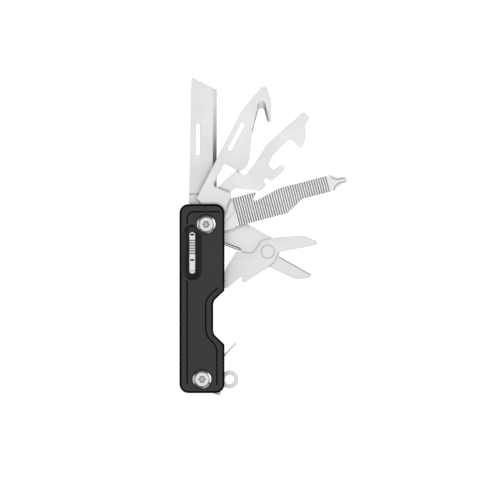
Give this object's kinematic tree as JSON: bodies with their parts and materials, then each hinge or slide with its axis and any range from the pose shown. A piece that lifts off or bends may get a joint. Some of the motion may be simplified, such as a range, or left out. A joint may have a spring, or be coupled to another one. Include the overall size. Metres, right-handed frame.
{
  "type": "multi tool",
  "caption": "Folding pocket multi tool with blade, strap-cutter hook, opener, file with driver tip, sprung scissors, lanyard ring and pin, all turning on two pivots between two scales.",
  "frame": {"origin": "middle of the rear scale's flat outer face", "axes": "+Y along the handle towards the tools' pivot, +X towards the side where the tools fold in, +Z out of the front scale"},
  "size_m": [0.0805, 0.1531, 0.0158],
  "materials": {
    "black_coat": "matte black anodised",
    "satin_steel": "satin ground steel",
    "file_steel": "cut file steel",
    "polished_steel": "polished steel",
    "spring_steel": "tempered spring steel",
    "bronze": "plain bronze"
  },
  "bodies": {
    "handle": {"front_scale": "black_coat", "rear_scale": "black_coat", "main_pivot_barrel": "polished_steel", "end_pivot_barrel": "polished_steel", "top_screw": "polished_steel", "bottom_screw": "polished_steel", "cup_washers": "polished_steel", "pivot_washers": "bronze", "spine_pins": "spring_steel", "hook_back_spring": "spring_steel", "opener_back_spring": "spring_steel", "file_back_spring": "spring_steel", "blade_back_spring": "spring_steel", "rear_spacer": "black_coat"},
    "blade": {"main_blade": "satin_steel"},
    "hook": {"hook_blade": "satin_steel"},
    "opener": {"can_opener": "satin_steel"},
    "file": {"file_driver": "file_steel"},
    "scissors": {"scissors_fixed_blade": "satin_steel", "scissors_rivet": "satin_steel"},
    "scissors_lever": {"scissors_moving_blade": "satin_steel"},
    "scissors_spring_arm": {"scissors_spring": "spring_steel"},
    "lock": {"lock_button": "polished_steel", "lock_bar": "spring_steel"},
    "ring": {"lanyard_ring": "satin_steel"},
    "sim": {"sim_pin": "satin_steel"}
  },
  "joints": [
    {"name": "blade_fold", "type": "hinge", "parent": "handle", "child": "blade", "pos_m": [0.002, 0.0357, 0.0062], "axis": [0, 0, 1], "range_deg": [-180, 0]},
    {"name": "hook_fold", "type": "hinge", "parent": "handle", "child": "hook", "pos_m": [0.002, 0.0357, 0.01179], "axis": [0, 0, 1], "range_deg": [-152.1, 27.9]},
    {"name": "opener_fold", "type": "hinge", "parent": "handle", "child": "opener", "pos_m": [0.002, 0.0357, 0.01006], "axis": [0, 0, 1], "range_deg": [-131.6, 48.4]},
    {"name": "file_fold", "type": "hinge", "parent": "handle", "child": "file", "pos_m": [0.002, 0.0357, 0.00823], "axis": [0, 0, 1], "range_deg": [-104.6, 75.4]},
    {"name": "scissors_fold", "type": "hinge", "parent": "handle", "child": "scissors", "pos_m": [0.002, 0.0357, 0.00343], "axis": [0, 0, 1], "range_deg": [-66.2, 113.8]},
    {"name": "scissors_cut", "type": "hinge", "parent": "scissors", "child": "scissors_lever", "pos_m": [0.03164, 0.02262, 0.00447], "axis": [0, 0, 1], "range_deg": [-40.5, 0], "stiffness_Nm_per_rad": 0.01, "springref_deg": 20.05},
    {"name": "scissors_spring_swing", "type": "hinge", "parent": "scissors", "child": "scissors_spring_arm", "pos_m": [0.00436, 0.02865, 0.00447], "axis": [0, 0, 1], "range_deg": [0, 39.78]},
    {"name": "lock_slide", "type": "slide", "parent": "handle", "child": "lock", "axis": [0, 1, 0], "range_m": [0, 0.002]},
    {"name": "ring_fold", "type": "hinge", "parent": "handle", "child": "ring", "pos_m": [0, -0.0389, 0.00325], "axis": [0, 0, 1], "range_deg": [-90, 90]},
    {"name": "sim_pin_fold", "type": "hinge", "parent": "handle", "child": "sim", "pos_m": [0, -0.0389, 0.00448], "axis": [0, 0, 1], "range_deg": [-90, 55]}
  ],
  "couplings": [
    {"joint": "scissors_spring_swing", "follows": "scissors_cut", "ratio": -0.97}
  ]
}
